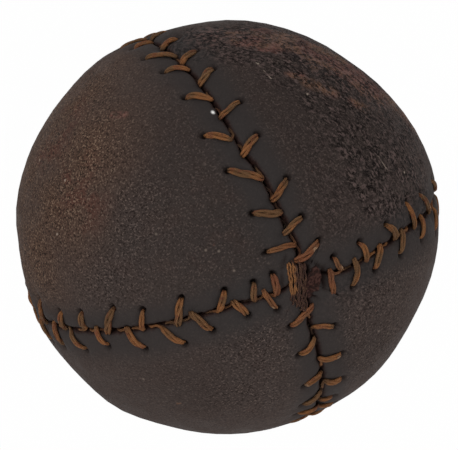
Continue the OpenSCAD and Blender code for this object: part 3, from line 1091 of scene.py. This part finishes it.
def lay_blotches(f):
    """Coarse light and dark blotches along the top."""
    share = f.near_any(*MOTTLED_PX)
    coarse = f.noise(*COARSE)
    f.lay("lit_blotch", f.times(f.remap(coarse, 0.53, 0.6), share), 0.6)
    f.lay("dark_blotch", f.times(f.remap(coarse, 0.48, 0.42), share), 0.95)


def lay_grain(f, brown, grain, fine):
    """Dark pores and light crests, weaker on the smooth, rubbed leather beside the seams."""
    near = f.attribute("near")
    grainy = f.most(brown, f.times(f.near_any(*GRAINY_PX), 0.65))
    strength = f.times(f.remap(near, 1.0, 0.3, 0.4, 1.0), f.remap(grainy, 0.0, 1.0, 0.4, 1.0))
    f.lay("pore", f.times(f.remap(grain, 0.5, 0.4), strength), 0.95)
    crest = f.blend(brown, "crest", "brown_crest")
    f.lay(crest, f.times(f.remap(fine, 0.54, 0.66), strength), 0.9)
    f.lay("rubbed", near, 0.6)


def lay_glints_and_scratches(f):
    """The few scratches, small painted glints, and a wax bit in the seam with a painted glint."""
    broken = f.remap(f.noise(*SCRATCHED), 0.42, 0.55, 0.05, 0.38)
    scratched = f.times(f.near_lines(SCRATCHES_PX), broken)
    faint = f.times(f.near_any(*FAINT_GLINTS_PX), 0.2)
    glints = f.most(f.times(f.near_any(*GLINTS_PX), 0.6), faint)
    f.lay("painted_glint_and_scratch", f.most(glints, scratched))
    f.lay("bright_speck", f.near_any(*BRIGHT_SPECK_PX))


def leather():
    f = Finish("dark_leather", LEATHER)
    broad = f.noise(*BROAD)
    middling = f.noise(*MIDDLING)
    grain = f.noise(*GRAIN)
    fine = f.noise(*FINE_GRAIN)
    brown = f.times(f.near_any(*BROWN_PX), f.remap(broad, 0.3, 0.6, 0.7, 1.0))
    lay_ground(f, broad, middling)
    lay_brown(f, brown)
    lay_wear_and_highlight(f)
    creased = lay_pebbles(f)
    lay_blotches(f)
    lay_grain(f, brown, grain, fine)
    lay_glints_and_scratches(f)
    f.lay(f.blend(f.remap(fine, 0.4, 0.6), "raw", "raw_light"), f.attribute("raw"))
    # Painted shade in the holes, along the slit, in the creases and on the tongue
    f.lay("dark", f.attribute("dark"))
    normal = f.relief(grain, 0.12)
    normal = f.relief(f.math("SUBTRACT", 1.0, creased), 0.15, normal)
    normal = f.relief(middling, 0.25, normal)
    return f.end(f.remap(middling, 0.3, 0.7, 0.65, 0.8), normal, specular=0.05)


def thread_fibre(name, tones, spots_px):
    """Fibres streaked with painted highlight and painted shade, redder in stretches and at the
    crossing, and in painted shade down in the slit.
    """
    f = Finish(name, tones)
    strands = f.streaks(7, 160)
    f.base = f.blend(f.remap(f.noise(*TWO_TONED), 0.42, 0.58), "mid", "light")
    f.lay("red", f.remap(f.noise(*THREAD_RED), 0.55, 0.62), 0.7)
    f.lay("red", f.remap(f.near_any(*CROSSING_PX), 0.2, 0.9), 0.8)
    # Pale spots: painted glints on the waxed thread, lighter strands in the lashing
    f.lay("spot", f.remap(f.near_any(*spots_px), 0.1, 0.5))
    # Painted shade between the strands, and painted highlight along them
    f.lay("deep", f.remap(strands, 0.54, 0.38), 0.9)
    f.lay("painted_fibre_highlight", f.remap(strands, 0.58, 0.68), 0.75)
    # Painted shade where the thread goes down into the slit
    f.lay("painted_slit_shade", f.depth(BALL_R - 0.4, BALL_R - 1.3))
    return f.end(0.7, f.relief(strands, 0.14), specular=0.15)


def plain_finish(name, tones, scale, rough):
    """Two tones in blotches, for the pieces that the cover hides."""
    f = Finish(name, tones)
    f.base = f.blend(f.remap(f.noise(scale, 5, 0.65), 0.35, 0.65), "low", "high")
    return f.end(rough, f.relief(f.noise(scale * 2.5, 4, 0.6), 0.2), specular=0.2)


def wear(obj, material):
    obj.data.materials.clear()
    obj.data.materials.append(material)


def dress_nodes():
    """The core and the windings keep their own meshes."""
    nodes = frame["nodes"]
    wear(nodes["rubber_core"], plain_finish("black_rubber", RUBBER, scale=220, rough=0.7))
    wear(nodes["wool_winding"], plain_finish("wool_yarn", WOOL, scale=500, rough=0.9))
    wear(nodes["twine_winding"], plain_finish("cotton_twine", TWINE, scale=600, rough=0.85))


# Floor, light and camera, in metres
FLOOR_SIZE = 6.0
FLOOR_WHITE_SHARE = 0.99
FLOOR_TONE = (0.5, 0.5, 0.5, 1)
WHITE = (1, 1, 1, 1)
WORLD_STRENGTH = 0.75


def make_floor(height):
    bpy.ops.mesh.primitive_plane_add(size=FLOOR_SIZE)
    floor = bpy.context.object
    set_positions(floor, positions(floor) + np.array([0, 0, height]))
    floor.name = "floor"
    material = bpy.data.materials.new("pale_floor")
    material.use_nodes = True
    nodes = Nodes(material.node_tree)
    lit = nodes.tree.nodes["Principled BSDF"]
    nodes.put(lit, {"Base Color": FLOOR_TONE, "Roughness": 0.9})
    glow = nodes.node("ShaderNodeEmission", {})
    rays = ("Is Camera Ray", "Is Glossy Ray", "Is Transmission Ray")
    nodes.show_white("Material Output", lit, glow, rays, FLOOR_WHITE_SHARE)
    wear(floor, material)


def make_world():
    world = bpy.data.worlds.new("studio")
    bpy.context.scene.world = world
    world.use_nodes = True
    nodes = Nodes(world.node_tree)
    lit = nodes.tree.nodes["Background"]
    nodes.put(lit, {"Color": WHITE, "Strength": WORLD_STRENGTH})
    backdrop = nodes.node("ShaderNodeBackground", {"Color": WHITE})
    nodes.show_white("World Output", lit, backdrop, ("Is Camera Ray", "Is Transmission Ray"))


def stand(name, data, place, turn):
    """Puts a lamp or a camera into the scene."""
    obj = bpy.data.objects.new(name, data)
    obj.matrix_world = Matrix.Translation(place) @ turn.to_4x4()
    bpy.context.scene.collection.objects.link(obj)
    return obj


def make_lamp(name, way, distance, size, power):
    """A square lamp that faces the ball from a way in the camera's frame."""
    right, up, toward = way
    aim = (CAMERA_RIGHT * right + CAMERA_UP * up + CAMERA_WAY * toward).normalized()
    data = bpy.data.lights.new(name, "AREA")
    data.shape = "SQUARE"
    data.size = size
    data.energy = power
    stand(name, data, aim * distance, aim.to_track_quat("Z", "Y").to_matrix())


def make_camera():
    data = bpy.data.cameras.new("camera")
    frame_width = PHOTO_W_PX / BALL_R_PX * BALL_R * MM
    data.sensor_width = 36.0
    data.lens = data.sensor_width * CAMERA_DISTANCE / frame_width
    data.clip_end = 20.0
    data.shift_x = (PHOTO_W_PX / 2 - BALL_CENTRE_PX[0]) / PHOTO_W_PX
    data.shift_y = (BALL_CENTRE_PX[1] - PHOTO_H_PX / 2) / PHOTO_W_PX
    turn = Matrix((CAMERA_RIGHT, CAMERA_UP, CAMERA_WAY)).transposed()
    bpy.context.scene.camera = stand("camera", data, CAMERA_WAY * CAMERA_DISTANCE, turn)


bpy.context.scene.view_settings.view_transform = "Standard"
make_camera()
make_world()
make_lamp("key", way=(-0.45, 0.25, 0.85), distance=0.9, size=0.6, power=2.4)
make_lamp("fill", way=(0.45, -0.6, 0.65), distance=1.0, size=0.9, power=1.8)

dress_nodes()

dark_leather = leather()
cover = make_cover()
wear(cover, dark_leather)
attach(cover, "root")
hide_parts("leather_cover")
make_floor(positions(cover)[:, 2].min())

tongue = make_tongue()
wear(tongue, dark_leather)
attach(tongue, "root")

waxed = thread_fibre("waxed_thread", WAXED_THREAD, THREAD_GLINTS_PX)
for seam in SEAMS:
    thread = make_seam_thread(seam)
    wear(thread, waxed)
    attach(thread, "root")
    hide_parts(f"seam_thread_{seam}")

lashing = make_lashing()
wear(lashing, thread_fibre("dark_thread", DARK_THREAD, LIGHT_STRANDS_PX))
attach(lashing, "root")
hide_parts("crossing_lashing")
